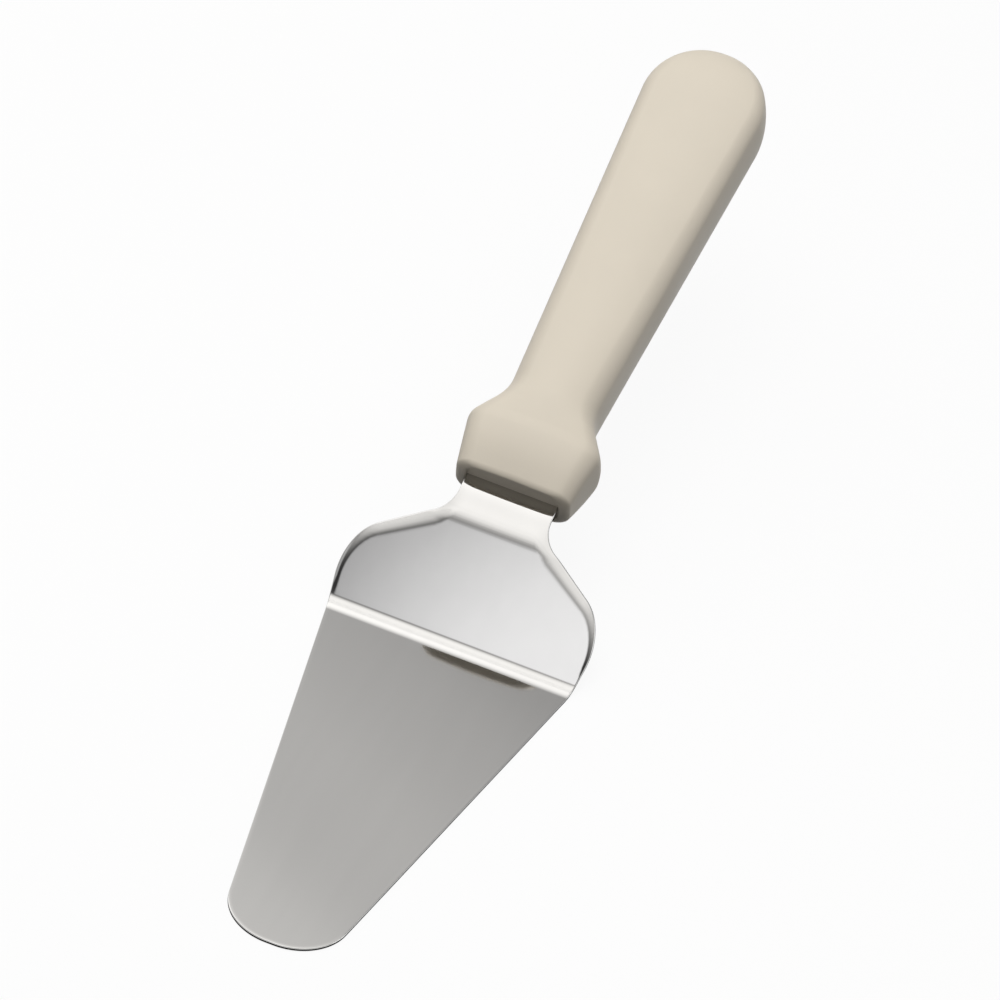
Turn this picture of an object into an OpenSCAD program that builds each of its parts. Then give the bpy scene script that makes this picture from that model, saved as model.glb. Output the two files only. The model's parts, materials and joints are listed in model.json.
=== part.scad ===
// Cake server: one pressed sheet of stainless steel, which is the blade, the
// riser with its shoulders, the neck and a tail, and a handle moulded round
// the tail.
// X runs across the server, Y along it with the tip at -Y, and Z up.
// The origin is the middle of the underside of the flat blade.

/* [Blade] */
// Length of the flat blade, from the heel bend to the end of the tip
blade_l = 113.9; // [85:0.1:130]
// Width across the heel, where the sheet bends up
heel_w = 60.9; // [55:0.1:75]
// Width that the straight edges would have at the end of the tip
tip_w = 25.4; // [20:0.1:40]
// Flat between the two round corners of the tip
tip_flat_w = 2; // [0.5:0.1:12]
// Thickness of the sheet
sheet_t = 0.9; // [0.6:0.1:1.6]

/* [Riser and neck] */
// Length of the riser between the middles of its two bends
riser_l = 32.8; // [28:0.1:45]
// Slope of the riser above the blade, in degrees
riser_a = 45.8; // [30:0.1:49]
// Radius of the heel bend, at the middle of the sheet
heel_bend_r = 6; // [3:0.5:10]
// Radius of the neck bend, at the middle of the sheet
neck_bend_r = 20; // [3:0.5:22]
// How far each shoulder stands out past the heel
shoulder_over = 1; // [0:0.1:2]
// Radius of the shoulders, seen from above
shoulder_r = 9.6; // [7:0.2:11]
// Distance from the heel bend back to the widest point of the shoulders
shoulder_back = 6; // [5:0.1:7]
// Width of the neck
neck_w = 22.8; // [18:0.1:26]
// Length of the neck between its bend and the handle
neck_l = 6.4; // [6:0.1:16]
// Radius of the fillets from the shoulders to the neck, seen from above
neck_fillet_r = 6.4; // [3:0.2:7.6]
// Straight stretch of the neck in front of the handle, seen from above
neck_straight_l = 3.4; // [2:0.1:6]

/* [Tail in the handle] */
// Length over which the tail keeps the width of the neck
tail_mouth_l = 7; // [3:0.5:9]
// Width of the rest of the tail
tail_w = 13; // [8:0.5:15]
// Length of the tail, from the front of the handle
tail_l = 78; // [66:1:95]
// Diameter of the key holes in the tail
key_d = 6; // [3:0.5:7]
// Distance from the front of the handle to the first key hole
key_first = 30; // [20:1:36]
// Number of key holes
key_count = 2; // [1:1:2]
// Distance between the key holes
key_pitch = 30; // [12:1:34]
// Gap between the tail and the handle, all round
tail_gap = 0.1; // [0.05:0.05:0.4]

/* [Handle] */
// Slope of the neck and the handle above the blade, in degrees
handle_a = 16.1; // [11:0.1:20]
// Length of the handle
handle_l = 129.4; // [105:0.1:150]
// Width of the front face
front_w = 28.1; // [27:0.1:33]
// Thickness of the front face
front_t = 12.2; // [8:0.2:16]
// Radius of the edge round the front face
front_edge_r = 1; // [0.6:0.1:2]
// Width across the finger guard
guard_w = 33.7; // [31:0.1:42]
// Thickness at the finger guard
guard_t = 20.6; // [16:0.2:26]
// Distance from the front face to the finger guard
guard_at = 13.8; // [10:0.2:15]
// Radius of the rim of the finger guard
guard_rim_r = 4; // [1:0.1:4.5]
// Width of the waist behind the finger guard
waist_w = 21.9; // [18:0.1:26]
// Thickness of the waist
waist_t = 21.6; // [15:0.2:26]
// Distance from the front face to the waist
waist_at = 22.8; // [21:0.2:28]
// Radius of the hollow between the finger guard and the grip
waist_hollow_r = 11.9; // [4:0.1:14]
// Width of the grip at the start of its round butt
butt_w = 30.2; // [24:0.2:36]
// Thickness of the butt
butt_t = 21.2; // [14:0.2:24]
// Length of the round butt
butt_l = 16.4; // [10:0.2:20]

/* [Handle section] */
// Crown of the top and the underside at the front face
front_crown = 0.6; // [0.1:0.1:1.2]
// Crown at the finger guard
guard_crown = 2; // [0.5:0.1:3]
// Crown at the waist
waist_crown = 2.6; // [0.5:0.1:4]
// Crown at the butt
butt_crown = 2; // [0.5:0.1:3.5]
// Crown of the two sides, from the finger guard to the butt
side_crown = 1.2; // [0.4:0.1:1.6]
// Radius of the long edges at the front face and the finger guard
guard_edge_r = 3.4; // [1:0.1:3.8]
// Radius of the long edges at the waist
waist_edge_r = 3.2; // [1:0.1:5]
// Radius of the long edges at the butt
butt_edge_r = 2.4; // [0.8:0.1:5]

/* [Hidden] */
$fn = 96;

// Room by which cuts and trimmed blanks run past what they meet
overrun = 2;
// Steps along each round stretch of the handle, and round each of its edges
arc_steps = 8;
butt_steps = 12;
edge_steps = 5;
// Points across the crowns of the top and the sides, between two edges
crown_points = 7;
side_points = 5;
// Share of the side crown that is left at the front face
front_swell_share = 0.25;
// Share of the quarter turn that the round butt runs through before its end
butt_turn_share = 0.96;
// Share of the butt's roundness, seen from above, that its side view takes
butt_dome_share = 0.51;

// Middles of the bends and the front of the handle, at the middle of the sheet
tip_y = -blade_l / 2;
heel_y = blade_l / 2;
heel_z = sheet_t / 2;
neck_y = heel_y + riser_l * cos(riser_a);
neck_z = heel_z + riser_l * sin(riser_a);
front_y = neck_y + neck_l * cos(handle_a);
front_z = neck_z + neck_l * sin(handle_a);

// Corners of the sheet's middle, seen from the side as Y and Z
tip_end = [tip_y - overrun, heel_z];
heel_bend = [heel_y, heel_z];
neck_bend = [neck_y, neck_z];
tail_end = [front_y, front_z] + tail_l * heading(handle_a);

// Tip corners: circles that touch the end of the tip and the straight edges
edge_slope = (heel_w - tip_w) / 2 / blade_l;
edge_a = atan(edge_slope);
tip_r = (tip_w - tip_flat_w) / 2 / (1 / cos(edge_a) - edge_slope);
tip_centre = [tip_flat_w / 2, tip_y + tip_r];
tip_touch = tip_centre + tip_r * [cos(edge_a), -sin(edge_a)];

// Shoulder and fillet circles, and where the straight stretches touch them
heel_corner = [heel_w / 2, heel_y];
shoulder_centre = [heel_w / 2 + shoulder_over - shoulder_r, heel_y + shoulder_back];
fillet_centre = [neck_w / 2 + neck_fillet_r, front_y - neck_straight_l];
to_heel = heel_corner - shoulder_centre;
to_fillet = fillet_centre - shoulder_centre;
low_a = bearing(to_heel) + acos(shoulder_r / norm(to_heel));
flank_a = bearing(to_fillet) - acos((shoulder_r + neck_fillet_r) / norm(to_fillet));
shoulder_low = shoulder_centre + shoulder_r * heading(low_a);
shoulder_high = shoulder_centre + shoulder_r * heading(flank_a);
fillet_low = fillet_centre - neck_fillet_r * heading(flank_a);

// Right half of the outline from above, with chords across the round stretches
half_outline = [
    [tip_flat_w / 2, tip_y],
    tip_touch,
    heel_corner,
    shoulder_low,
    shoulder_high,
    fillet_low,
    [neck_w / 2, fillet_centre.y],
    [neck_w / 2, tail_end.x + overrun],
];

function heading(a) = [cos(a), sin(a)];
function bearing(p) = atan2(p.y, p.x);
function unit(p) = p / norm(p);
function reversed(points) = [for (i = [len(points) - 1:-1:0]) points[i]];
function mirrored(points) = [for (p = reversed(points)) [-p.x, p.y]];
function mix(a, b, share) = a + (b - a) * share;

// Arc that rounds the corner b between a and c with radius r, at a radius grown
// about the same centre
function rounded(a, b, c, r, grown = 0) =
    let (
        u = unit(a - b),
        w = unit(c - b),
        half = acos(u * w) / 2,
        centre = b + unit(u + w) * r / sin(half),
        start = bearing(b + u * r / tan(half) - centre),
        end = bearing(b + w * r / tan(half) - centre),
        turn = (end - start + 540) % 360 - 180
    )
    [for (i = [0:arc_steps]) centre + (r + grown) * heading(start + turn * i / arc_steps)];

// Line along the sheet at a height above its middle, from the tip to the tail's end
function sheet_line(height) =
    concat(
        [tip_end + [0, height]],
        rounded(tip_end, heel_bend, neck_bend, heel_bend_r, -height),
        rounded(heel_bend, neck_bend, tail_end, neck_bend_r, height),
        [tail_end + height * heading(handle_a + 90)]
    );

// Corners of the handle's half outline, as distance from the front and half width
front_corner = [0, front_w / 2];
guard_corner = [guard_at, guard_w / 2];
waist_corner = [waist_at, waist_w / 2];
butt_corner = [handle_l - butt_l, butt_w / 2];
guard_arc = rounded(front_corner, guard_corner, waist_corner, guard_rim_r);
waist_arc = rounded(guard_corner, waist_corner, butt_corner, waist_hollow_r);

// Stations along the handle: distance, half width, inset of the rounded front
// edge, and share of the thickness that is left over the round butt
front_stations = [
    for (i = [0:edge_steps])
        let (
            a = 90 * i / edge_steps,
            v = front_edge_r * (1 - cos(a)),
            inset = front_edge_r * (1 - sin(a))
        )
        [v, lookup(v, [front_corner, guard_corner]) - inset, inset, 1]
];
grip_line = [for (i = [1:arc_steps]) mix(waist_arc[arc_steps], butt_corner, i / arc_steps)];
body_stations = [for (p = concat(guard_arc, waist_arc, grip_line)) [p.x, p.y, 0, 1]];
butt_stations = [
    for (i = [1:butt_steps])
        let (a = 90 * butt_turn_share * i / butt_steps)
        [butt_corner.x + butt_l * sin(a), butt_corner.y * cos(a), 0, pow(cos(a), butt_dome_share)]
];
stations = concat(front_stations, body_stations, butt_stations);

// Half thickness, crown and edge radius of the handle at a distance from its front
function half_thickness(v) =
    v < guard_at
        ? mix(front_t, guard_t, sin(90 * v / guard_at)) / 2
        : v < waist_at
            ? mix(guard_t, waist_t, (1 - cos(180 * (v - guard_at) / (waist_at - guard_at))) / 2) / 2
            : lookup(v, [[waist_at, waist_t], [handle_l, butt_t]]) / 2;
function crown(v) =
    lookup(v, [[0, front_crown], [guard_at, guard_crown], [waist_at, waist_crown], [handle_l, butt_crown]]);
function edge_radius(v) =
    lookup(v, [[guard_at, guard_edge_r], [waist_at, waist_edge_r], [handle_l, butt_edge_r]]);

// Share of the side crown at a distance from the front
function swell_share(v) = lookup(v, [[0, front_swell_share], [guard_at, 1]]);

// Ring of points: a rectangle with round edges, crowned above, below and at the sides
function ring(w, t, bulge, swell, edge_r) =
    let (
        flat = w - swell,
        r = min(edge_r, flat, t),
        edge = [for (i = [0:edge_steps]) [flat - r, t - r] + r * heading(90 * i / edge_steps)],
        across = [for (i = [1:crown_points]) [mix(flat - r, r - flat, i / (crown_points + 1)), t]],
        down = [for (i = [1:side_points]) [-flat, mix(t - r, r - t, i / (side_points + 1))]],
        half = concat(edge, across, mirrored(edge), down),
        both = concat(half, [for (p = half) -p])
    )
    [
        for (p = both)
            [
                p.x + sign(p.x) * swell * (1 - pow(p.y / t, 2)),
                p.y + sign(p.y) * bulge * (1 - pow(p.x / flat, 2))
            ]
    ];

handle_rings = [
    for (s = stations)
        let (
            bulge = crown(s[0]) * s[3],
            swell = side_crown * swell_share(s[0]) * s[3],
            full_side = half_thickness(s[0]) - crown(s[0]),
            side = full_side - s[2],
            edge_r = edge_radius(s[0]) * side / full_side
        )
        [for (p = ring(s[1], side * s[3], bulge, swell, edge_r)) [p.x, s[0], p.y]]
];

// Puts a piece that is drawn from the handle's front, along Y, in its place
module at_handle() {
    translate([0, front_y, front_z]) rotate([handle_a, 0, 0]) children();
}

// Side view of the sheet, with Y across and Z up
module sheet_profile() {
    polygon(concat(sheet_line(sheet_t / 2), reversed(sheet_line(-sheet_t / 2))));
}

// Outline of the sheet from above, which keeps the neck's width past the tail's end
module sheet_plan() {
    difference() {
        polygon(concat(half_outline, mirrored(half_outline)));
        for (side = [-1, 1])
            translate([side * fillet_centre.x, fillet_centre.y]) circle(neck_fillet_r);
    }
    for (side = [-1, 1]) {
        translate([side * tip_centre.x, tip_centre.y]) circle(tip_r);
        translate([side * shoulder_centre.x, shoulder_centre.y]) circle(shoulder_r);
    }
}

// Outline of the slot for the tail, with the gap all round
module slot_plan() {
    translate([-neck_w / 2 - tail_gap, -overrun])
        square([neck_w + 2 * tail_gap, overrun + tail_mouth_l + tail_gap]);
    translate([-tail_w / 2 - tail_gap, 0])
        square([tail_w + 2 * tail_gap, tail_l + tail_gap]);
}

// Two strips that are cut away beside the tail, behind its mouth
module tail_trim() {
    for (side = [0, 1])
        mirror([side, 0])
            translate([tail_w / 2, tail_mouth_l])
                square([neck_w / 2 + overrun, tail_l + overrun]);
}

// Round shapes at the places of the keys
module key_plan(d) {
    for (i = [0:key_count - 1])
        translate([0, key_first + i * key_pitch]) circle(d = d);
}

module blade() {
    color("silver")
        difference() {
            intersection() {
                rotate([90, 0, 90])
                    linear_extrude(heel_w + 2 * shoulder_over + 2 * overrun, center = true)
                        sheet_profile();
                translate([0, 0, -overrun])
                    linear_extrude(tail_end.y + 2 * overrun) sheet_plan();
            }
            at_handle()
                linear_extrude(2 * overrun, center = true) {
                    tail_trim();
                    key_plan(key_d);
                }
        }
}

module handle_body() {
    points = [for (r = handle_rings) each r];
    n = len(handle_rings[0]);
    last = len(handle_rings) - 1;
    walls = [
        for (i = [0:last - 1])
            for (j = [0:n - 1])
                let (k = (j + 1) % n)
                [i * n + j, i * n + k, (i + 1) * n + k, (i + 1) * n + j]
    ];
    front = [for (j = [n - 1:-1:0]) j];
    end = [for (j = [0:n - 1]) last * n + j];
    polyhedron(points, concat([front], walls, [end]));
}

module handle() {
    color("antiquewhite")
        at_handle()
            difference() {
                handle_body();
                difference() {
                    linear_extrude(sheet_t + 2 * tail_gap, center = true) slot_plan();
                    linear_extrude(2 * overrun, center = true) key_plan(key_d - 2 * tail_gap);
                }
            }
}

blade();
handle();
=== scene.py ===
"""Looks of a cake server: a pressed sheet of polished steel and a resin handle moulded round its tail."""

import json
import math

import bmesh
import bpy
from mathutils import Matrix, Vector


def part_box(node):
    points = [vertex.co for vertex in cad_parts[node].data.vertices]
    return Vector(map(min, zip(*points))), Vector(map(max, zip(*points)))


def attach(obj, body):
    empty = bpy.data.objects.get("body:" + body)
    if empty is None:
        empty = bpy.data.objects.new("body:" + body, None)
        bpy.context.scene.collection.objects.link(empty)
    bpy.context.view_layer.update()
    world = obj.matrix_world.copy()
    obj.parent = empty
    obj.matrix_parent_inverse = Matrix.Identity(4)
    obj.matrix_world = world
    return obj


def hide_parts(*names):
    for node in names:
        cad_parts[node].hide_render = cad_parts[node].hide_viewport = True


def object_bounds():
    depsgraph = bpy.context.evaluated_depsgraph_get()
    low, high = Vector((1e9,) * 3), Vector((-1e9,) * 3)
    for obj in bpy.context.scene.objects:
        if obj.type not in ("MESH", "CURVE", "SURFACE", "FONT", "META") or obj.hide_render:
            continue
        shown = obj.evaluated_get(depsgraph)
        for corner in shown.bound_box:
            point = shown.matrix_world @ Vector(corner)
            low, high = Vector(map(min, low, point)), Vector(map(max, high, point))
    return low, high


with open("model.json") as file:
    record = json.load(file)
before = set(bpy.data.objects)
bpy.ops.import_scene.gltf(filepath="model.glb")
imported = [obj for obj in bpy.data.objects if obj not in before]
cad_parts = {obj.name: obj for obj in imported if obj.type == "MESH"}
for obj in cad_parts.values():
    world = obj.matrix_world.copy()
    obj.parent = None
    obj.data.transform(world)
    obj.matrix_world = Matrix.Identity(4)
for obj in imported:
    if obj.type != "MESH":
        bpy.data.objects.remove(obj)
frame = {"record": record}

bl_info = {
    "name": "Cake server",
    "version": (1, 0, 0),
    "blender": (4, 5, 0),
    "location": "View3D > Sidebar > Cake server",
    "description": "Models a cake server with a polished steel blade and a moulded handle",
    "category": "Add Mesh",
}

CAD_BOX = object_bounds()
BLADE_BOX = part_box("blade")
MOUNTS = {mount["name"]: mount for mount in frame["record"]["mounts"]}

# Steps into which curves and long stretches are divided
TIP_STEPS = 28
SHOULDER_STEPS = 28
FILLET_STEPS = 16
BEND_STEPS = 20
RIM_STEPS = 12
LIP_STEPS = 10
FLANK_STEPS = 5
GUARD_STEPS = 16
GRIP_STEPS = 20
BUTT_STEPS = 24
CORNER_STEPS = 8
TOP_CUTS = 11
SIDE_CUTS = 7

# Shares, limits and weights of the meshes
EDGE_SHARES = (0.12, 0.35, 0.65, 1)
CREST_SHARES = (2, 1.5, 1, 0.25)
RIM_CROWDING = 1.5
CORNER_SHARE = 0.5
LONG_EDGE_LIMIT = 0.9
BUTT_TURN = math.radians(89)
MERGE_DISTANCE = 1e-6
ON_SIDE = 1 - 1e-4
FLATNESS_WEIGHT = 50

# Values of the materials, such as the noise that counts as dark and light
NOISE_RANGE = (0.3, 0.7)
STEEL_ROUGHNESS_SHARES = (0.8, 1.2)
RESIN_ROUGHNESS_SHARES = (0.92, 1.08)
# Weak reflection of the cut edge; with its near-black colour it is partly a painted dark reflection
EDGE_REFLECTION = (0.15, 0.15, 0.15, 1)
RESIN_REFLECTION = 0.2

# Ranges of direction in the studio, each with the range of levels that it sets
WORLD_RISE = ((0.45, 0.9), (0.03, 0.36))
WORLD_DEPTH = ((-0.7, 0), (0.2, 1))
SKYLINE = ((0.3, 0.58), (0.8, 0))

# Sockets of a colour Mix node
MIX_FIRST = 6
MIX_SECOND = 7
MIX_RESULT = 2

# Values of the floor, the softboxes and the camera
FLOOR_HALF = 6
FLOOR_ROUGHNESS = 0.9
BEFORE_BOUNCE = 0.5
CLIP_FACTOR = 4
PANEL_HALF = 0.5
RAMP_ENDS = 2
FRONT_DROP = 0.02
WARM_TINT = (1, 0.985, 0.965)
COOL_TINT = (0.985, 0.985, 1)
DOWN = (0, 0, -1)
EVEN_STOPS = ((1, 0), (0, 1), (0.9, 0), (0.6, 1))


class SheetSizes(bpy.types.PropertyGroup):
    """Sizes of the pressed sheet, from the tip of the blade to the end of its hidden tail."""

    blade_length: bpy.props.FloatProperty(
        name="Blade length",
        description="Length of the flat blade, from the heel bend to the tip",
        default=-2 * BLADE_BOX[0].y,
        unit="LENGTH",
    )
    thickness: bpy.props.FloatProperty(
        name="Thickness",
        description="Thickness of the sheet",
        default=MOUNTS["cake_face"]["pos_m"][2],
        unit="LENGTH",
    )
    shoulder_width: bpy.props.FloatProperty(
        name="Shoulder width",
        description="Width across the shoulders at their widest point",
        default=2 * BLADE_BOX[1].x,
        unit="LENGTH",
    )
    shoulder_over: bpy.props.FloatProperty(
        name="Shoulder overhang",
        description="How far each shoulder stands out past the heel",
        default=0.001,
        unit="LENGTH",
    )
    shoulder_radius: bpy.props.FloatProperty(
        name="Shoulder radius",
        description="Radius of the shoulders, seen from above",
        default=0.0096,
        unit="LENGTH",
    )
    shoulder_back: bpy.props.FloatProperty(
        name="Shoulder setback",
        description="Distance from the heel bend back to the widest point of the shoulders",
        default=0.006,
        unit="LENGTH",
    )
    tip_width: bpy.props.FloatProperty(
        name="Tip width",
        description="Width that the straight edges would have at the end of the tip",
        default=0.0254,
        unit="LENGTH",
    )
    tip_flat: bpy.props.FloatProperty(
        name="Tip flat",
        description="Flat between the two round corners of the tip",
        default=0.002,
        unit="LENGTH",
    )
    riser_length: bpy.props.FloatProperty(
        name="Riser length",
        description="Length of the riser between the middles of its two bends",
        default=0.0328,
        unit="LENGTH",
    )
    riser_slope: bpy.props.FloatProperty(
        name="Riser slope",
        description="Slope of the riser above the blade",
        default=math.radians(45.8),
        subtype="ANGLE",
    )
    heel_bend: bpy.props.FloatProperty(
        name="Heel bend",
        description="Radius of the heel bend, at the middle of the sheet",
        default=0.006,
        unit="LENGTH",
    )
    neck_bend: bpy.props.FloatProperty(
        name="Neck bend",
        description="Radius of the neck bend, at the middle of the sheet",
        default=0.02,
        unit="LENGTH",
    )
    neck_width: bpy.props.FloatProperty(
        name="Neck width",
        description="Width of the neck",
        default=0.0228,
        unit="LENGTH",
    )
    neck_length: bpy.props.FloatProperty(
        name="Neck length",
        description="Length of the neck between its bend and the handle",
        default=0.0064,
        unit="LENGTH",
    )
    neck_fillet: bpy.props.FloatProperty(
        name="Neck fillet",
        description="Radius of the fillets from the shoulders to the neck",
        default=0.0064,
        unit="LENGTH",
    )
    neck_straight: bpy.props.FloatProperty(
        name="Straight neck",
        description="Straight stretch of the neck in front of the handle",
        default=0.0034,
        unit="LENGTH",
    )
    tail_mouth: bpy.props.FloatProperty(
        name="Tail mouth",
        description="Length over which the tail keeps the width of the neck",
        default=0.007,
        unit="LENGTH",
    )
    tail_width: bpy.props.FloatProperty(
        name="Tail width",
        description="Width of the rest of the tail",
        default=0.013,
        unit="LENGTH",
    )
    tail_length: bpy.props.FloatProperty(
        name="Tail length",
        description="Length of the tail, from the front of the handle",
        default=0.078,
        unit="LENGTH",
    )
    rim_slope: bpy.props.FloatProperty(
        name="Rim slope",
        description="Slope to which the rim along the shoulders is pressed down at its edge",
        default=math.radians(17),
        subtype="ANGLE",
    )
    rim_widths: bpy.props.FloatVectorProperty(
        name="Rim widths",
        description="Width of the pressed rim at the heel and up at the neck",
        default=(0.0012, 0.0032),
        size=2,
        unit="LENGTH",
    )
    rim_fade: bpy.props.FloatProperty(
        name="Rim fade",
        description="Length over which the pressed rim dies out at the heel and at the neck",
        default=0.005,
        unit="LENGTH",
    )
    buffed_drop: bpy.props.FloatProperty(
        name="Buffed drop",
        description="How far buffing lowers the upper edge along the blade",
        default=0.00003,
        unit="LENGTH",
    )
    buffed_width: bpy.props.FloatProperty(
        name="Buffed width",
        description="Width of the buffed band along the edge of the blade",
        default=0.0009,
        unit="LENGTH",
    )
    edge_round: bpy.props.FloatProperty(
        name="Edge round",
        description="Radius of the sheet's upper and lower edges",
        default=0.0002,
        unit="LENGTH",
    )


class HandleSizes(bpy.types.PropertyGroup):
    """Sizes of the moulded handle, measured along its own axis from its front face."""

    slope: bpy.props.FloatProperty(
        name="Slope",
        description="Slope of the neck and the handle above the blade",
        default=math.radians(16.1),
        subtype="ANGLE",
    )
    length: bpy.props.FloatProperty(
        name="Length",
        description="Length of the handle",
        default=0.1294,
        unit="LENGTH",
    )
    front_width: bpy.props.FloatProperty(
        name="Front width",
        description="Width of the front face",
        default=0.0281,
        unit="LENGTH",
    )
    front_thickness: bpy.props.FloatProperty(
        name="Front thickness",
        description="Thickness of the front face",
        default=0.0122,
        unit="LENGTH",
    )
    lip: bpy.props.FloatVectorProperty(
        name="Front lip",
        description="Width at the sides, width at the top and depth of the round lip at the front",
        default=(0.0022, 0.0006, 0.0012),
        size=3,
        unit="LENGTH",
    )
    lip_crest: bpy.props.FloatProperty(
        name="Lip crest",
        description="Width of the narrow inner edge of the lip",
        default=0.0002,
        unit="LENGTH",
    )
    hollow_depth: bpy.props.FloatProperty(
        name="Hollow depth",
        description="Depth of the shallow hollow inside the lip",
        default=0.0008,
        unit="LENGTH",
    )
    guard_width: bpy.props.FloatProperty(
        name="Guard width",
        description="Width across the finger guard",
        default=0.0337,
        unit="LENGTH",
    )
    guard_thickness: bpy.props.FloatProperty(
        name="Guard thickness",
        description="Thickness at the finger guard",
        default=0.0206,
        unit="LENGTH",
    )
    guard_at: bpy.props.FloatProperty(
        name="Guard place",
        description="Distance from the front face to the finger guard",
        default=0.0138,
        unit="LENGTH",
    )
    guard_rim: bpy.props.FloatProperty(
        name="Guard rim",
        description="Radius of the rim of the finger guard",
        default=0.004,
        unit="LENGTH",
    )
    waist_width: bpy.props.FloatProperty(
        name="Waist width",
        description="Width of the waist behind the finger guard",
        default=0.0219,
        unit="LENGTH",
    )
    waist_thickness: bpy.props.FloatProperty(
        name="Waist thickness",
        description="Thickness of the waist",
        default=0.0216,
        unit="LENGTH",
    )
    waist_at: bpy.props.FloatProperty(
        name="Waist place",
        description="Distance from the front face to the waist",
        default=0.0228,
        unit="LENGTH",
    )
    waist_hollow: bpy.props.FloatProperty(
        name="Waist hollow",
        description="Radius of the hollow between the finger guard and the grip",
        default=0.0119,
        unit="LENGTH",
    )
    butt_width: bpy.props.FloatProperty(
        name="Butt width",
        description="Width of the grip at the start of its round butt",
        default=0.0302,
        unit="LENGTH",
    )
    butt_thickness: bpy.props.FloatProperty(
        name="Butt thickness",
        description="Thickness of the butt",
        default=0.0212,
        unit="LENGTH",
    )
    butt_length: bpy.props.FloatProperty(
        name="Butt length",
        description="Length of the round butt",
        default=0.0164,
        unit="LENGTH",
    )
    butt_dome: bpy.props.FloatProperty(
        name="Butt dome",
        description="Share of the butt's roundness, seen from above, that its side view takes",
        default=0.51,
        subtype="FACTOR",
    )
    crowns: bpy.props.FloatVectorProperty(
        name="Crowns",
        description="Crown of the top and the underside at the front, guard, waist and butt",
        default=(0.0006, 0.002, 0.0026, 0.002),
        size=4,
        unit="LENGTH",
    )
    edges: bpy.props.FloatVectorProperty(
        name="Long edges",
        description="Radius of the long edges at the guard, waist and butt",
        default=(0.0034, 0.0032, 0.0024),
        size=3,
        unit="LENGTH",
    )
    side_crown: bpy.props.FloatProperty(
        name="Side crown",
        description="Crown of the two sides, from the finger guard to the butt",
        default=0.0012,
        unit="LENGTH",
    )
    front_swell: bpy.props.FloatProperty(
        name="Front swell",
        description="Share of the side crown that is left at the front face",
        default=0.25,
        subtype="FACTOR",
    )
    slot_gap: bpy.props.FloatProperty(
        name="Slot gap",
        description="Gap between the slot in the front face and the sheet",
        default=0.0001,
        unit="LENGTH",
    )


class Finishes(bpy.types.PropertyGroup):
    """Colours and gloss of the steel and the resin."""

    steel: bpy.props.FloatVectorProperty(
        name="Steel",
        description="Colour of the polished steel",
        default=(0.62, 0.615, 0.605),
        size=3,
        subtype="COLOR",
    )
    steel_roughness: bpy.props.FloatProperty(
        name="Steel roughness",
        description="Roughness of the polished steel",
        default=0.06,
        subtype="FACTOR",
    )
    # Near black: partly dull sheared steel, partly a painted dark reflection of the surroundings
    dull_and_shaded_cut_edge: bpy.props.FloatVectorProperty(
        name="Cut edge, dull and painted dark",
        description="Colour of the sheet's cut edge",
        default=(0.012, 0.012, 0.012),
        size=3,
        subtype="COLOR",
    )
    resin: bpy.props.FloatVectorProperty(
        name="Resin",
        description="Colour of the moulded handle",
        default=(0.70, 0.64, 0.54),
        size=3,
        subtype="COLOR",
    )
    resin_roughness: bpy.props.FloatProperty(
        name="Resin roughness",
        description="Roughness of the moulded handle",
        default=0.42,
        subtype="FACTOR",
    )


class StageSettings(bpy.types.PropertyGroup):
    """Camera, floor and soft studio light."""

    azimuth: bpy.props.FloatProperty(
        name="Azimuth",
        description="Direction of the camera round the object, from the tip's side",
        default=math.radians(13.62),
        subtype="ANGLE",
    )
    elevation: bpy.props.FloatProperty(
        name="Elevation",
        description="Height of the camera above the horizon",
        default=math.radians(41.67),
        subtype="ANGLE",
    )
    roll: bpy.props.FloatProperty(
        name="Roll",
        description="Turn of the camera about its line of sight",
        default=math.radians(11.5),
        subtype="ANGLE",
    )
    distance: bpy.props.FloatProperty(
        name="Distance",
        description="Distance from the camera to the point that it looks at",
        default=9.0,
        unit="LENGTH",
    )
    view_width: bpy.props.FloatProperty(
        name="View width",
        description="Width that the picture covers at that point",
        default=0.2299,
        unit="LENGTH",
    )
    aim: bpy.props.FloatVectorProperty(
        name="Aim",
        description="Middle of the picture, to the right of and above the heel bend",
        default=(0.01155, 0.03382),
        size=2,
        unit="LENGTH",
    )
    floor: bpy.props.FloatVectorProperty(
        name="Floor",
        description="Colour of the floor",
        default=(0.8, 0.8, 0.8),
        size=3,
        subtype="COLOR",
    )
    floor_bounce: bpy.props.FloatProperty(
        name="Floor bounce",
        description="Share of the floor's colour that it throws back up at the object",
        default=0.06,
        subtype="FACTOR",
    )
    floor_lift: bpy.props.FloatProperty(
        name="Floor lift",
        description="Share of plain white in the floor as it is seen",
        default=0.92,
        subtype="FACTOR",
    )
    light_height: bpy.props.FloatProperty(
        name="Light height",
        description="Height of the softboxes above the floor",
        default=0.5,
        unit="LENGTH",
    )


def heading(angle):
    """Unit direction at an angle, in a plane."""
    return Vector((math.cos(angle), math.sin(angle)))


def bearing(vector):
    """Angle of a direction in a plane."""
    return math.atan2(vector.y, vector.x)


def mix(first, second, share):
    """Value that lies that share of the way from the first to the second."""
    return first + (second - first) * share


def smooth(low, high, value):
    """Soft step from 0 at low to 1 at high."""
    share = min(max((value - low) / (high - low), 0), 1)
    return share * share * (3 - 2 * share)


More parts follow.
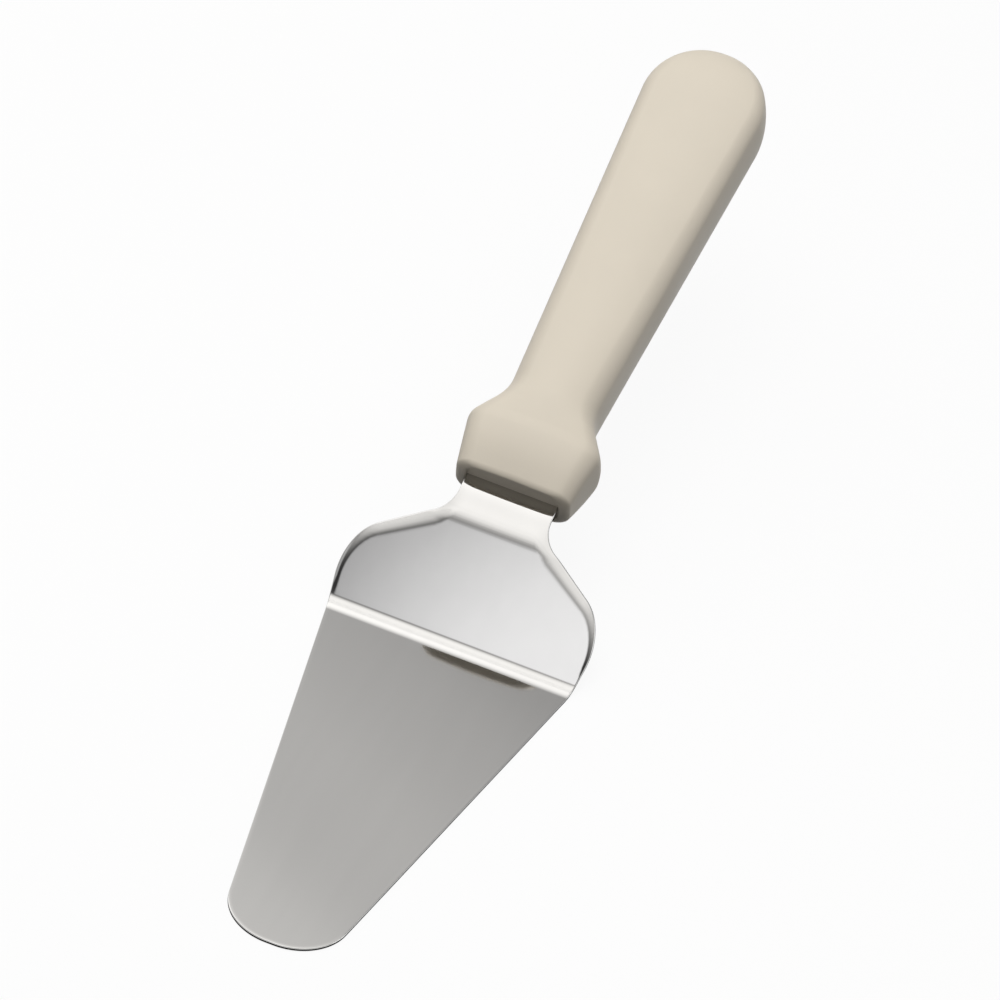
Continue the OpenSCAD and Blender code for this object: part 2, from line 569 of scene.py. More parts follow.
class SheetPath:
    """Side view of the sheet: where its bends and its ends are, and its upper face along Y."""

    def __init__(self, sheet, handle):
        self.slopes = (0, sheet.riser_slope, handle.slope)
        self.heel = Vector((sheet.blade_length / 2, sheet.thickness / 2))
        self.neck = self.heel + sheet.riser_length * heading(sheet.riser_slope)
        self.front = self.neck + sheet.neck_length * heading(handle.slope)
        self.bends = [
            self.bend(self.heel, 0, sheet.riser_slope, sheet.heel_bend, sheet.thickness / 2),
            self.bend(self.neck, sheet.riser_slope, handle.slope, sheet.neck_bend, sheet.thickness / 2),
        ]

    @staticmethod
    def bend(corner, before, after, radius, rise):
        """Upper face of a bend: its centre, radius and side, and the places and slopes of its ends."""
        side = math.copysign(1, after - before)
        middle = (before + after) / 2 + math.pi / 2
        centre = corner + side * radius / math.cos((after - before) / 2) * heading(middle)
        upper = radius - side * rise
        ends = [centre.x + side * upper * math.sin(slope) for slope in (before, after)]
        return {"centre": centre, "radius": upper, "side": side, "ends": ends, "slopes": (before, after)}

    def place(self, y):
        """Height and slope of the upper face at a place along Y."""
        lines = ((self.heel, 0), (self.heel, self.slopes[1]), (self.neck, self.slopes[2]))
        stretch = 0
        for bend in self.bends:
            start, end = bend["ends"]
            if start <= y <= end:
                slope = math.asin(bend["side"] * (y - bend["centre"].x) / bend["radius"])
                return bend["centre"].y - bend["side"] * bend["radius"] * math.cos(slope), slope
            stretch += y > end
        corner, slope = lines[stretch]
        rise = self.heel.y / math.cos(slope)
        return corner.y + rise + (y - corner.x) * math.tan(slope), slope

    def cuts(self, steps):
        """Places along Y at which the bends and the riser between them are divided."""
        for bend in self.bends:
            for step in range(steps + 1):
                slope = mix(*bend["slopes"], step / steps)
                yield bend["centre"].x + bend["side"] * bend["radius"] * math.sin(slope)
        riser_start = self.bends[0]["ends"][1]
        riser_end = self.bends[1]["ends"][0]
        for step in range(1, steps):
            yield mix(riser_start, riser_end, step / steps)


def draw_line(bm, start, point):
    """Extrudes a vertex to a point of the plan."""
    end = bmesh.ops.extrude_vert_indiv(bm, verts=[start])["verts"][0]
    end.co = (point[0], point[1], 0)
    return end


def draw_arc(bm, start, centre, turn, steps):
    """Spins a vertex about a point of the plan."""
    made = bmesh.ops.spin(
        bm,
        geom=[start],
        cent=(centre[0], centre[1], 0),
        axis=(0, 0, 1),
        angle=turn,
        steps=steps,
    )["geom_last"]
    return next(piece for piece in made if isinstance(piece, bmesh.types.BMVert))


def draw_sheet(bm, sheet, handle, path):
    """Draws the outline of the sheet from above, and returns its face."""
    heel_half = sheet.shoulder_width / 2 - sheet.shoulder_over
    tip_y = -sheet.blade_length / 2
    edge_lean = (heel_half - sheet.tip_width / 2) / sheet.blade_length
    edge_angle = math.atan(edge_lean)
    tip_radius = (sheet.tip_width - sheet.tip_flat) / 2 / (1 / math.cos(edge_angle) - edge_lean)
    heel_corner = Vector((heel_half, path.heel.x))
    shoulder = heel_corner + Vector((sheet.shoulder_over - sheet.shoulder_radius, sheet.shoulder_back))
    fillet = Vector((sheet.neck_width / 2 + sheet.neck_fillet, path.front.x - sheet.neck_straight))
    to_heel = heel_corner - shoulder
    to_fillet = fillet - shoulder
    low = bearing(to_heel) + math.acos(sheet.shoulder_radius / to_heel.length)
    flank = bearing(to_fillet) - math.acos((sheet.shoulder_radius + sheet.neck_fillet) / to_fillet.length)
    mouth_y = path.front.x + sheet.tail_mouth * math.cos(handle.slope)
    tail_y = path.front.x + sheet.tail_length * math.cos(handle.slope)

    pen = bmesh.ops.create_vert(bm, co=(0, tip_y, 0))["vert"][0]
    pen = draw_line(bm, pen, (sheet.tip_flat / 2, tip_y))
    tip_centre = (sheet.tip_flat / 2, tip_y + tip_radius)
    pen = draw_arc(bm, pen, tip_centre, math.pi / 2 - edge_angle, TIP_STEPS)
    pen = draw_line(bm, pen, heel_corner)
    pen = draw_line(bm, pen, shoulder + sheet.shoulder_radius * heading(low))
    pen = draw_arc(bm, pen, shoulder, flank - low, SHOULDER_STEPS)
    pen = draw_line(bm, pen, fillet - sheet.neck_fillet * heading(flank))
    pen = draw_arc(bm, pen, fillet, -flank, FILLET_STEPS)
    for point in (
        (sheet.neck_width / 2, mouth_y),
        (sheet.tail_width / 2, mouth_y),
        (sheet.tail_width / 2, tail_y),
        (0, tail_y),
    ):
        pen = draw_line(bm, pen, point)
    bmesh.ops.mirror(bm, geom=bm.verts[:] + bm.edges[:], merge_dist=MERGE_DISTANCE, axis="X")
    face = bmesh.ops.contextual_create(bm, geom=bm.edges[:])["faces"][0]
    face.normal_update()
    if face.normal.z < 0:
        face.normal_flip()
    return face


def press_sheet(bm, sheet, handle):
    """Cuts the sheet out, divides it and gives it its thickness, round edges, rim and bends."""
    path = SheetPath(sheet, handle)
    face = draw_sheet(bm, sheet, handle, path)
    margin = bm.verts.layers.float.new("margin")
    loops = [sheet.edge_round * share for share in EDGE_SHARES]
    for step in range(1, RIM_STEPS + 1):
        loops.append(mix(sheet.edge_round, sheet.rim_widths[1], (step / RIM_STEPS) ** RIM_CROWDING))
    reached = 0
    for distance in loops:
        bmesh.ops.inset_region(
            bm, faces=[face], thickness=distance - reached, use_boundary=True, use_even_offset=True
        )
        reached = distance
        for vert in face.verts:
            vert[margin] = distance
    for y in path.cuts(BEND_STEPS):
        bmesh.ops.bisect_plane(
            bm, geom=bm.verts[:] + bm.edges[:] + bm.faces[:], plane_co=(0, y, 0), plane_no=(0, 1, 0)
        )
    upper = bm.faces[:]
    made = bmesh.ops.extrude_face_region(bm, geom=upper, use_keep_orig=True)["geom"]
    lower = {piece for piece in made if isinstance(piece, bmesh.types.BMFace)}
    lower_verts = {piece for piece in made if isinstance(piece, bmesh.types.BMVert)}
    # The cut edge faces take the second material, whose near-black colour is partly a painted dark
    # reflection
    for edge_face in set(bm.faces) - set(upper) - lower:
        edge_face.material_index = 1
    for vert in bm.verts:
        depth = sheet.thickness if vert in lower_verts else 0
        vert.co = folded(vert.co, vert[margin], depth, sheet, path)
    bmesh.ops.recalc_face_normals(bm, faces=bm.faces[:])


def folded(point, margin, depth, sheet, path):
    """Place of a point of the flat sheet once it is pressed down at the rim and folded at the bends."""
    height, slope = path.place(point.y)
    normal = Vector((0, -math.sin(slope), math.cos(slope)))
    rise = smooth(path.heel.x, path.neck.x, point.y)
    width = mix(*sheet.rim_widths, rise)
    pressed = smooth(path.heel.x, path.heel.x + sheet.rim_fade, point.y)
    pressed *= 1 - smooth(path.neck.x - sheet.rim_fade, path.neck.x + sheet.rim_fade, point.y)
    drop = math.tan(sheet.rim_slope) * width / 2 * pressed * max(1 - margin / width, 0) ** 2
    if not depth and point.y < path.heel.x:
        drop += sheet.buffed_drop * max(1 - margin / sheet.buffed_width, 0) ** 2
    inset = max(sheet.edge_round - margin, 0)
    shave = sheet.edge_round - math.sqrt(sheet.edge_round**2 - inset**2)
    sunk = drop + (depth - shave if depth else shave)
    return Vector((point.x, point.y, height)) - sunk * normal


def rounded(before, corner, after, radius, steps):
    """Points of the arc that rounds a corner of an outline."""
    back = (before - corner).normalized()
    ahead = (after - corner).normalized()
    half = back.angle(ahead) / 2
    centre = corner + (back + ahead).normalized() * radius / math.sin(half)
    start = bearing(corner + back * radius / math.tan(half) - centre)
    end = bearing(corner + ahead * radius / math.tan(half) - centre)
    turn = (end - start + 3 * math.pi) % (2 * math.pi) - math.pi
    return [centre + radius * heading(start + turn * step / steps) for step in range(steps + 1)]


def table(value, stops):
    """Value read off a table of stops, straight between them."""
    for (low, first), (high, second) in zip(stops, stops[1:]):
        if value < high:
            return mix(first, second, max(value - low, 0) / (high - low))
    return stops[-1][1]


class HandleStation:
    """A section of the handle: its distance from the front and the sizes of its rounded rectangle."""

    def __init__(self, distance, half_width, half_height, edge, crown, swell):
        self.distance = distance
        self.half = Vector((half_width - swell, half_height))
        self.edge = min(edge, LONG_EDGE_LIMIT * self.half.x, self.half.y)
        self.crown = crown
        self.swell = swell

    def point(self, unit):
        """Place of a point of the unit section."""
        flat = 1 - CORNER_SHARE
        spots = []
        for along, half in zip((unit.x, unit.z), self.half):
            size = abs(along)
            straight = min(size, flat) / flat * (half - self.edge)
            turned = max(size - flat, 0) / CORNER_SHARE * self.edge
            spots.append(math.copysign(straight + turned, along))
        side = self.swell * (1 - (spots[1] / self.half.y) ** 2)
        bulge = self.crown * (1 - (spots[0] / self.half.x) ** 2)
        return Vector((
            spots[0] + math.copysign(side, spots[0]),
            self.distance,
            spots[1] + math.copysign(bulge, spots[1]),
        ))


def handle_stations(handle, sheet):
    """Sections of the handle, from the floor of its slot out over the lip and along to the butt."""
    front = Vector((0, handle.front_width / 2))
    guard = Vector((handle.guard_at, handle.guard_width / 2))
    waist = Vector((handle.waist_at, handle.waist_width / 2))
    butt = Vector((handle.length - handle.butt_length, handle.butt_width / 2))
    crown_stops = list(zip((0, handle.guard_at, handle.waist_at, handle.length), handle.crowns))
    edge_stops = list(zip((handle.guard_at, handle.waist_at, handle.length), handle.edges))
    swell_stops = [(0, handle.front_swell), (handle.guard_at, 1)]

    def half_thickness(distance):
        if distance < handle.guard_at:
            rise = math.sin(math.pi / 2 * distance / handle.guard_at)
            return mix(handle.front_thickness, handle.guard_thickness, rise) / 2
        if distance < handle.waist_at:
            share = smooth(handle.guard_at, handle.waist_at, distance)
            return mix(handle.guard_thickness, handle.waist_thickness, share) / 2
        share = (distance - handle.waist_at) / (handle.length - handle.waist_at)
        return mix(handle.waist_thickness, handle.butt_thickness, share) / 2

    def station(distance, half_width, inset=0, left=1, narrow=1):
        crown = table(distance, crown_stops)
        full = half_thickness(distance) - crown
        side = full - inset
        edge = table(distance, edge_stops) * side / full
        swell = handle.side_crown * table(distance, swell_stops)
        return HandleStation(distance, half_width, side * left, edge, crown * left, swell * narrow)

    slot_half = sheet.neck_width / 2 + handle.slot_gap
    slot_height = sheet.thickness / 2 + handle.slot_gap
    stations = [
        HandleStation(distance, slot_half, slot_height, handle.slot_gap, 0, 0)
        for distance in (sheet.tail_mouth, sheet.tail_mouth / 2, handle.hollow_depth)
    ]
    side_lip, top_lip, lip_depth = handle.lip
    hollow_half = front.y - side_lip
    insets = [handle.lip_crest * share for share in CREST_SHARES]
    for distance, inset in zip((handle.hollow_depth, handle.hollow_depth / 2, *insets[2:]), insets):
        stations.append(station(distance, hollow_half - inset, top_lip + inset))
    for step in range(LIP_STEPS + 1):
        turn = math.pi / 2 * step / LIP_STEPS
        distance = lip_depth * (1 - math.cos(turn))
        left = 1 - math.sin(turn)
        half_width = table(distance, [front, guard]) - side_lip * left
        stations.append(station(distance, half_width, top_lip * left))
    lip_end = Vector((lip_depth, table(lip_depth, [front, guard])))
    guard_arc = rounded(front, guard, waist, handle.guard_rim, GUARD_STEPS)
    waist_arc = rounded(guard, waist, butt, handle.waist_hollow, GUARD_STEPS)
    flank = [mix(lip_end, guard_arc[0], step / FLANK_STEPS) for step in range(1, FLANK_STEPS)]
    grip = [mix(waist_arc[-1], butt, step / GRIP_STEPS) for step in range(1, GRIP_STEPS + 1)]
    stations += [station(*place) for place in flank + guard_arc + waist_arc + grip]
    for step in range(1, BUTT_STEPS + 1):
        turn = BUTT_TURN * step / BUTT_STEPS
        distance = butt.x + handle.butt_length * math.sin(turn)
        narrow = math.cos(turn)
        left = narrow ** handle.butt_dome
        stations.append(station(distance, butt.y * narrow, left=left, narrow=narrow))
    return stations


def mould_handle(bm, handle, sheet):
    """Extrudes a unit section from station to station, and gives each station its sizes."""
    bmesh.ops.create_grid(
        bm, x_segments=1, y_segments=1, size=1, matrix=Matrix.Rotation(math.pi / 2, 4, "X")
    )
    bmesh.ops.bevel(
        bm,
        geom=bm.verts[:],
        offset=CORNER_SHARE,
        affect="VERTICES",
        segments=CORNER_STEPS,
        profile=0.5,
        material=-1,
    )
    bmesh.ops.delete(bm, geom=bm.faces[:], context="FACES_ONLY")
    for axis, cuts in (("z", TOP_CUTS), ("x", SIDE_CUTS)):
        sides = [
            edge for edge in bm.edges
            if all(abs(getattr(vert.co, axis)) > ON_SIDE for vert in edge.verts)
        ]
        bmesh.ops.subdivide_edges(bm, edges=sides, cuts=cuts)
    for vert in bm.verts:
        vert.co.y = 0
    stations = handle_stations(handle, sheet)
    first = ring = bm.edges[:]
    for _ in stations[1:]:
        made = bmesh.ops.extrude_edge_only(bm, edges=ring)["geom"]
        ring_verts = {piece for piece in made if isinstance(piece, bmesh.types.BMVert)}
        bmesh.ops.translate(bm, verts=list(ring_verts), vec=(0, 1, 0))
        ring = [edge for edge in bm.edges if ring_verts.issuperset(edge.verts)]
    for end in (first, ring):
        bmesh.ops.contextual_create(bm, geom=end)
    for vert in bm.verts:
        vert.co = stations[round(vert.co.y)].point(vert.co)
    bmesh.ops.recalc_face_normals(bm, faces=bm.faces[:])
    front = SheetPath(sheet, handle).front
    bmesh.ops.transform(
        bm,
        verts=bm.verts[:],
        matrix=Matrix.Translation((0, front.x, front.y)) @ Matrix.Rotation(handle.slope, 4, "X"),
    )


def object_from(bm, name):
    """Object made of a finished bmesh, linked to the scene."""
    mesh = bpy.data.meshes.new(name)
    bm.to_mesh(mesh)
    bm.free()
    made = bpy.data.objects.new(name, mesh)
    bpy.context.scene.collection.objects.link(made)
    return made


def piece_from(bm, name, materials):
    """Piece of the object, smooth shaded, with its materials."""
    piece = object_from(bm, name)
    piece.data.shade_smooth()
    for material in materials:
        piece.data.materials.append(material)
    normals = piece.modifiers.new("Flat faces stay flat", "WEIGHTED_NORMAL")
    normals.mode = "FACE_AREA"
    normals.weight = FLATNESS_WEIGHT
    return piece


def new_material(name):
    """Empty node material with its Principled BSDF."""
    material = bpy.data.materials.new(name)
    material.use_nodes = True
    return material, material.node_tree, material.node_tree.nodes["Principled BSDF"]


def add_node(tree, kind, values=(), **settings):
    """Node with its settings and its socket values."""
    node = tree.nodes.new(kind)
    for name, value in settings.items():
        setattr(node, name, value)
    for socket, value in values:
        node.inputs[socket].default_value = value
    return node


def link(tree, *pairs):
    """Links pairs of an output and an input."""
    for source, target in pairs:
        tree.links.new(source, target)


def add_range(tree, source, before, after):
    """Takes a value from one range to another, and returns the result."""
    limits = zip(("From Min", "From Max", "To Min", "To Max"), (*before, *after))
    node = add_node(tree, "ShaderNodeMapRange", limits)
    link(tree, (source, node.inputs["Value"]))
    return node.outputs["Result"]


def surface_drift_group():
    """Group that puts out slow patches and a fine grain over a surface."""
    group = bpy.data.node_groups.get("Surface drift")
    if group:
        return group
    group = bpy.data.node_groups.new("Surface drift", "ShaderNodeTree")
    group.interface.new_socket("Vector", in_out="INPUT", socket_type="NodeSocketVector")
    for name in ("Patch scale", "Grain scale"):
        group.interface.new_socket(name, in_out="INPUT", socket_type="NodeSocketFloat")
    for name in ("Patches", "Grain"):
        group.interface.new_socket(name, in_out="OUTPUT", socket_type="NodeSocketFloat")
    inside = add_node(group, "NodeGroupInput")
    outside = add_node(group, "NodeGroupOutput")
    for name, scale, detail in (("Patches", "Patch scale", 3), ("Grain", "Grain scale", 2)):
        noise = add_node(group, "ShaderNodeTexNoise", [("Detail", detail)])
        link(
            group,
            (inside.outputs["Vector"], noise.inputs["Vector"]),
            (inside.outputs[scale], noise.inputs["Scale"]),
            (noise.outputs["Fac"], outside.inputs[name]),
        )
    return group


def drift(tree, patch_scale, grain_scale, stretch=(1, 1, 1)):
    """Places the drift group on Object coordinates, stretched along the axes."""
    place = add_node(tree, "ShaderNodeTexCoord")
    mapping = add_node(tree, "ShaderNodeMapping", [("Scale", stretch)])
    scales = (("Patch scale", patch_scale), ("Grain scale", grain_scale))
    node = add_node(tree, "ShaderNodeGroup", scales, node_tree=surface_drift_group())
    link(
        tree,
        (place.outputs["Object"], mapping.inputs["Vector"]),
        (mapping.outputs["Vector"], node.inputs["Vector"]),
    )
    return node


def ranged(tree, source, target, low, high):
    """Feeds a mask into a socket, mapped to a range."""
    link(tree, (add_range(tree, source, NOISE_RANGE, (low, high)), target))


def tinted(tree, source, colour, target, spread):
    """Feeds a colour into a socket, darker and lighter by the spread where the mask says."""
    ramp = add_node(tree, "ShaderNodeValToRGB")
    for stop, place, level in zip(ramp.color_ramp.elements, NOISE_RANGE, (1 - spread, 1 + spread)):
        stop.position = place
        stop.color = (*(channel * level for channel in colour), 1)
    link(tree, (source, ramp.inputs["Fac"]), (ramp.outputs["Color"], target))


def bumped(tree, source, target, strength, distance):
    """Feeds a fine relief into a Normal socket."""
    bump = add_node(tree, "ShaderNodeBump", [("Strength", strength), ("Distance", distance)])
    link(tree, (source, bump.inputs["Height"]), (bump.outputs["Normal"], target))


def polished_steel(finishes):
    """Mirror-polished steel, with polishing lines along the blade."""
    material, tree, shader = new_material("Polished steel")
    lines = drift(tree, patch_scale=40, grain_scale=900, stretch=(6, 0.5, 6))
    shader.inputs["Metallic"].default_value = 1
    tinted(tree, lines.outputs["Patches"], finishes.steel, shader.inputs["Base Color"], spread=0.01)
    low, high = (finishes.steel_roughness * share for share in STEEL_ROUGHNESS_SHARES)
    ranged(tree, lines.outputs["Grain"], shader.inputs["Roughness"], low, high)
    return material


def dull_and_shaded_cut_edge(finishes):
    """Steel of the sheet's cut edge, near black: partly dull sheared steel, partly a painted dark
    reflection of the surroundings.
    """
    material, tree, shader = new_material("Cut edge, dull and painted dark")
    marks = drift(tree, patch_scale=200, grain_scale=2500)
    shader.inputs["Metallic"].default_value = 1
    shader.inputs["Specular Tint"].default_value = EDGE_REFLECTION
    tinted(tree, marks.outputs["Patches"], finishes.dull_and_shaded_cut_edge, shader.inputs["Base Color"], spread=0.2)
    ranged(tree, marks.outputs["Grain"], shader.inputs["Roughness"], low=0.3, high=0.45)
    return material


def moulded_resin(finishes):
    """Satin resin with the fine skin of a mould."""
    material, tree, shader = new_material("Moulded resin")
    skin = drift(tree, patch_scale=60, grain_scale=2200)
    shader.inputs["Specular IOR Level"].default_value = RESIN_REFLECTION
    tinted(tree, skin.outputs["Patches"], finishes.resin, shader.inputs["Base Color"], spread=0.012)
    low, high = (finishes.resin_roughness * share for share in RESIN_ROUGHNESS_SHARES)
    ranged(tree, skin.outputs["Patches"], shader.inputs["Roughness"], low, high)
    bumped(tree, skin.outputs["Grain"], shader.inputs["Normal"], strength=0.08, distance=0.0001)
    return material


def soft_panel(
    name, size, centre, level, stops, facing=DOWN, fade="EASE", turn=0, tint=(1, 1, 1), mirrored=True
):
    """Flat light whose level falls off from its middle, as the stops of distance and share say."""
    bm = bmesh.new()
    bmesh.ops.create_grid(bm, x_segments=1, y_segments=1, size=PANEL_HALF)
    panel = object_from(bm, name)
    panel.location = centre
    aimed = Vector(facing).to_track_quat("Z", "Y").to_matrix().to_4x4()
    panel.rotation_euler = (aimed @ Matrix.Rotation(turn, 4, "Z")).to_euler()
    panel.scale = (*size, 1)
    panel.visible_camera = False
    panel.visible_glossy = mirrored
    material = bpy.data.materials.new(name)
    material.use_nodes = True
    tree = material.node_tree
    tree.nodes.remove(tree.nodes["Principled BSDF"])
    place = add_node(tree, "ShaderNodeTexCoord")
    mapping = add_node(tree, "ShaderNodeMapping", [("Scale", (1 / PANEL_HALF,) * 3)])
    ball = add_node(tree, "ShaderNodeTexGradient", gradient_type="SPHERICAL")
    ramp = add_node(tree, "ShaderNodeValToRGB")
    ramp.color_ramp.interpolation = fade
    for number, (distance, share) in enumerate(stops):
        if number < RAMP_ENDS:
            stop = ramp.color_ramp.elements[number]
            stop.position = 1 - distance
        else:
            stop = ramp.color_ramp.elements.new(1 - distance)
        stop.color = (*(share * channel for channel in tint), 1)
    glow = add_node(tree, "ShaderNodeEmission", [("Strength", level)])
    clear = add_node(tree, "ShaderNodeBsdfTransparent")
    both = add_node(tree, "ShaderNodeAddShader")
    link(
        tree,
        (place.outputs["Object"], mapping.inputs["Vector"]),
        (mapping.outputs["Vector"], ball.inputs["Vector"]),
        (ball.outputs["Fac"], ramp.inputs["Fac"]),
        (ramp.outputs["Color"], glow.inputs["Color"]),
        (glow.outputs["Emission"], both.inputs[0]),
        (clear.outputs["BSDF"], both.inputs[1]),
        (both.outputs["Shader"], tree.nodes["Material Output"].inputs["Surface"]),
    )
    panel.data.materials.append(material)


def pale_floor(stage, level):
    """Wide floor under the object, which looks pale and throws little light back up."""
    bm = bmesh.new()
    bmesh.ops.create_grid(bm, x_segments=1, y_segments=1, size=FLOOR_HALF)
    bmesh.ops.translate(bm, verts=bm.verts[:], vec=(0, 0, level))
    floor = object_from(bm, "floor")
    material, tree, shader = new_material("Pale floor")
    shader.inputs["Roughness"].default_value = FLOOR_ROUGHNESS
    seen = add_node(tree, "ShaderNodeLightPath")
    mirrored = add_node(tree, "ShaderNodeMath", operation="MAXIMUM")
    any_sight = add_node(tree, "ShaderNodeMath", operation="MAXIMUM")
    unscattered = add_node(tree, "ShaderNodeMath", [(1, BEFORE_BOUNCE)], operation="LESS_THAN")
    sight = add_node(tree, "ShaderNodeMath", operation="MULTIPLY")
    bounce = [channel * stage.floor_bounce for channel in stage.floor]
    tones = ((MIX_FIRST, (*bounce, 1)), (MIX_SECOND, (*stage.floor, 1)))
    tone = add_node(tree, "ShaderNodeMix", tones, data_type="RGBA")
    lift = add_node(tree, "ShaderNodeMath", [(1, stage.floor_lift)], operation="MULTIPLY")
    glow = add_node(tree, "ShaderNodeEmission")
    blend = add_node(tree, "ShaderNodeMixShader")
    link(
        tree,
        (seen.outputs["Is Glossy Ray"], mirrored.inputs[0]),
        (seen.outputs["Is Transmission Ray"], mirrored.inputs[1]),
        (seen.outputs["Is Camera Ray"], any_sight.inputs[0]),
        (mirrored.outputs["Value"], any_sight.inputs[1]),
        (seen.outputs["Diffuse Depth"], unscattered.inputs[0]),
        (any_sight.outputs["Value"], sight.inputs[0]),
        (unscattered.outputs["Value"], sight.inputs[1]),
        (sight.outputs["Value"], tone.inputs["Factor"]),
        (tone.outputs[MIX_RESULT], shader.inputs["Base Color"]),
        (sight.outputs["Value"], lift.inputs[0]),
        (lift.outputs["Value"], blend.inputs["Fac"]),
        (shader.outputs["BSDF"], blend.inputs[1]),
        (glow.outputs["Emission"], blend.inputs[2]),
        (blend.outputs["Shader"], tree.nodes["Material Output"].inputs["Surface"]),
    )
    floor.data.materials.append(material)


def studio_world():
    """Grey studio, darker low down and in front of the tip, with a pale skyline that metal mirrors."""
    world = bpy.data.worlds.new("Studio")
    bpy.context.scene.world = world
    world.use_nodes = True
    tree = world.node_tree
    place = add_node(tree, "ShaderNodeTexCoord")
    split = add_node(tree, "ShaderNodeSeparateXYZ")
    both = add_node(tree, "ShaderNodeMath", operation="MULTIPLY")
    seen = add_node(tree, "ShaderNodeLightPath")
    mirrored = add_node(tree, "ShaderNodeMath", operation="MULTIPLY")
    sight = add_node(tree, "ShaderNodeMath", operation="MAXIMUM")
    level = add_node(tree, "ShaderNodeMath", operation="MAXIMUM")
    link(
        tree,
        (place.outputs["Generated"], split.inputs["Vector"]),
        (add_range(tree, split.outputs["Z"], *WORLD_RISE), both.inputs[0]),
        (add_range(tree, split.outputs["Y"], *WORLD_DEPTH), both.inputs[1]),
        (add_range(tree, split.outputs["Z"], *SKYLINE), mirrored.inputs[0]),
        (seen.outputs["Is Glossy Ray"], mirrored.inputs[1]),
        (seen.outputs["Is Camera Ray"], sight.inputs[0]),
        (mirrored.outputs["Value"], sight.inputs[1]),
        (sight.outputs["Value"], level.inputs[0]),
        (both.outputs["Value"], level.inputs[1]),
        (level.outputs["Value"], tree.nodes["Background"].inputs["Strength"]),
    )
    tree.nodes["Background"].inputs["Color"].default_value = (1, 1, 1, 1)


def studio_camera(stage, heel):
    """Camera with a long lens that looks at the object from the photograph's angle."""
    level = Vector((math.cos(stage.azimuth), math.sin(stage.azimuth), 0))
    back = Vector((
        math.sin(stage.azimuth) * math.cos(stage.elevation),
        -math.cos(stage.azimuth) * math.cos(stage.elevation),
        math.sin(stage.elevation),
    ))
    across = math.cos(stage.roll) * level + math.sin(stage.roll) * back.cross(level)
    upward = back.cross(across)
    target = heel + stage.aim[0] * across + stage.aim[1] * upward
    data = bpy.data.cameras.new("camera")
    data.lens = data.sensor_width * stage.distance / stage.view_width
    data.clip_end = CLIP_FACTOR * stage.distance
    camera = bpy.data.objects.new("camera", data)
    camera.location = target + stage.distance * back
    camera.rotation_euler = Matrix((across, upward, back)).transposed().to_euler()
    bpy.context.scene.collection.objects.link(camera)
    bpy.context.scene.camera = camera


class CAKESERVER_OT_blade(bpy.types.Operator):
    """Models the pressed steel sheet: blade, riser, neck and tail"""

    bl_idname = "cake_server.blade"
    bl_label = "Blade"

    def execute(self, context):
        scene = context.scene
        bm = bmesh.new()
        press_sheet(bm, scene.cake_sheet, scene.cake_handle)
        finishes = scene.cake_finishes
        # The second material darkens the cut edge, partly as a painted dark reflection
        piece = piece_from(bm, "pressed_blade", [polished_steel(finishes), dull_and_shaded_cut_edge(finishes)])
        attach(piece, "root")
        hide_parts("blade")
        return {"FINISHED"}


class CAKESERVER_OT_handle(bpy.types.Operator):
    """Models the handle that is moulded round the tail"""

    bl_idname = "cake_server.handle"
    bl_label = "Handle"

    def execute(self, context):
        scene = context.scene
        bm = bmesh.new()
        mould_handle(bm, scene.cake_handle, scene.cake_sheet)
        piece = piece_from(bm, "moulded_handle", [moulded_resin(scene.cake_finishes)])
        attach(piece, "root")
        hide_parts("handle")
        return {"FINISHED"}


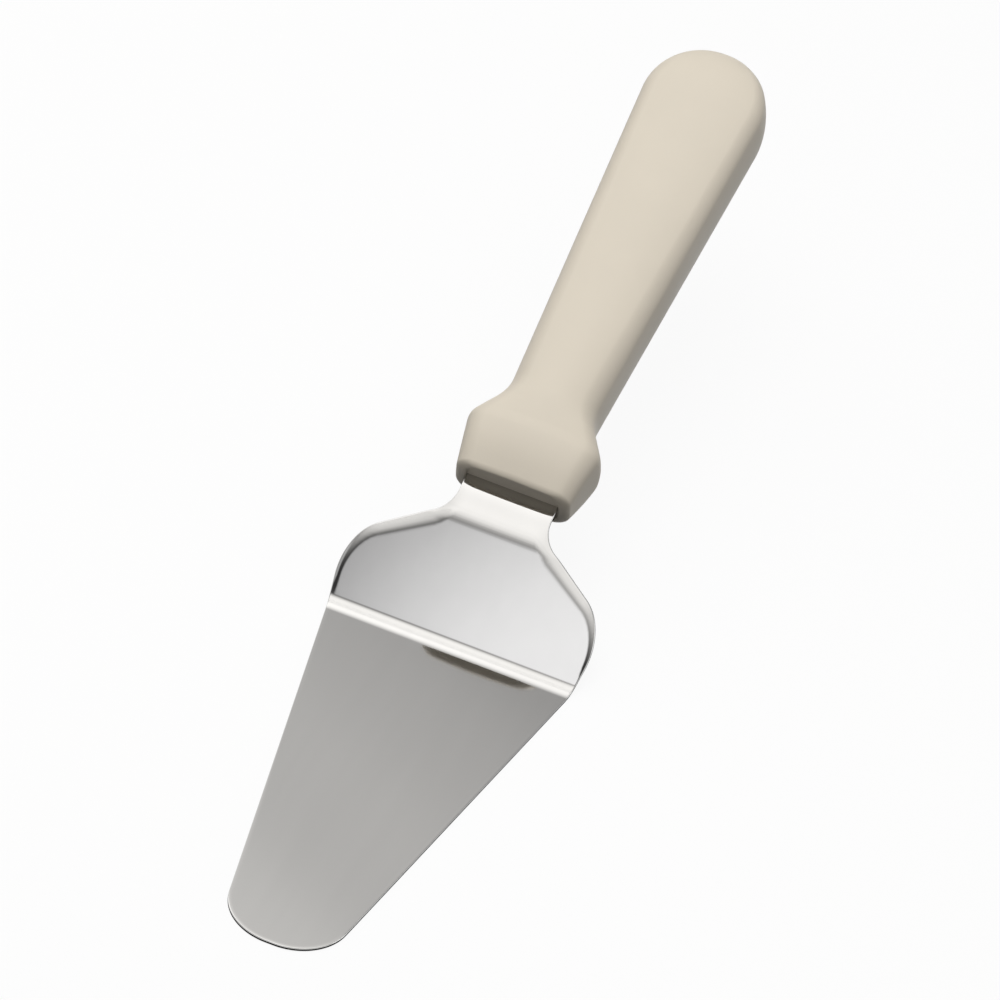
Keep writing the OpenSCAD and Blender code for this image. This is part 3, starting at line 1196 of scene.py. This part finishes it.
class CAKESERVER_OT_stage(bpy.types.Operator):
    """Sets the floor, the soft light and the camera"""

    bl_idname = "cake_server.stage"
    bl_label = "Stage"

    def execute(self, context):
        scene = context.scene
        stage = scene.cake_stage
        sheet = scene.cake_sheet
        scene.view_settings.view_transform = "Standard"
        pale_floor(stage, CAD_BOX[0].z)
        studio_world()
        high = stage.light_height
        soft_panel(
            "overhead_softbox",
            size=(3.2, 1.2),
            centre=(-0.28, 0.27, high),
            turn=math.radians(30),
            level=1.25,
            tint=WARM_TINT,
            stops=((1, 0), (0, 1), (0.16, 0.94), (0.44, 0.466), (0.525, 0.375), (0.604, 0.245), (0.8, 0)),
            fade="CARDINAL",
        )
        soft_panel(
            "front_softbox",
            size=(0.34, 0.34),
            centre=(-0.035, -0.443, high - FRONT_DROP),
            level=1.29,
            tint=COOL_TINT,
            stops=((1, 0), (0, 1), (0.42, 1)),
        )
        soft_panel(
            "neck_softbox",
            size=(1.0, 0.54),
            centre=(-0.16, -0.16, high),
            level=0.8,
            tint=WARM_TINT,
            stops=((1, 0), (0, 1)),
        )
        soft_panel(
            "shoulder_softbox",
            size=(0.36, 0.5),
            centre=(-0.52, -0.38, high),
            level=0.5,
            stops=((1, 0), (0, 1), (0.4, 1)),
        )
        soft_panel(
            "left_softbox",
            size=(1, 1),
            centre=(-0.75, 0.2, 0.6),
            facing=(0.75, -0.1, -0.6),
            level=0.6,
            stops=EVEN_STOPS,
        )
        soft_panel(
            "right_softbox",
            size=(0.8, 0.8),
            centre=(0.9, 0.3, 0.3),
            facing=(-0.9, -0.1, -0.2),
            level=1.35,
            stops=EVEN_STOPS,
        )
        soft_panel(
            "top_softbox",
            size=(1, 1),
            centre=(-0.15, 0, 1.2),
            facing=(0.1, 0.1, -1.2),
            level=3.1,
            stops=EVEN_STOPS,
            mirrored=False,
        )
        heel = Vector((0, sheet.blade_length / 2, sheet.thickness))
        studio_camera(stage, heel)
        return {"FINISHED"}


class CAKESERVER_PT_sidebar(bpy.types.Panel):
    """Sizes, finishes and steps of the cake server"""

    bl_idname = "CAKESERVER_PT_sidebar"
    bl_label = "Cake server"
    bl_space_type = "VIEW_3D"
    bl_region_type = "UI"
    bl_category = "Cake server"

    def draw(self, context):
        layout = self.layout
        for operator in OPERATORS:
            layout.operator(operator.bl_idname)
        for name in GROUPS:
            box = layout.box()
            group = getattr(context.scene, name)
            for key in group.bl_rna.properties.keys():
                if key not in ("rna_type", "name"):
                    box.prop(group, key)


GROUPS = {
    "cake_sheet": SheetSizes,
    "cake_handle": HandleSizes,
    "cake_finishes": Finishes,
    "cake_stage": StageSettings,
}
OPERATORS = (CAKESERVER_OT_blade, CAKESERVER_OT_handle, CAKESERVER_OT_stage)
CLASSES = (*GROUPS.values(), *OPERATORS, CAKESERVER_PT_sidebar)


def register():
    for cls in CLASSES:
        bpy.utils.register_class(cls)
    for name, group in GROUPS.items():
        setattr(bpy.types.Scene, name, bpy.props.PointerProperty(type=group))


def unregister():
    for name in GROUPS:
        delattr(bpy.types.Scene, name)
    for cls in reversed(CLASSES):
        bpy.utils.unregister_class(cls)


def main():
    register()
    bpy.ops.cake_server.blade()
    bpy.ops.cake_server.handle()
    bpy.ops.cake_server.stage()


if __name__ == "__main__":
    main()
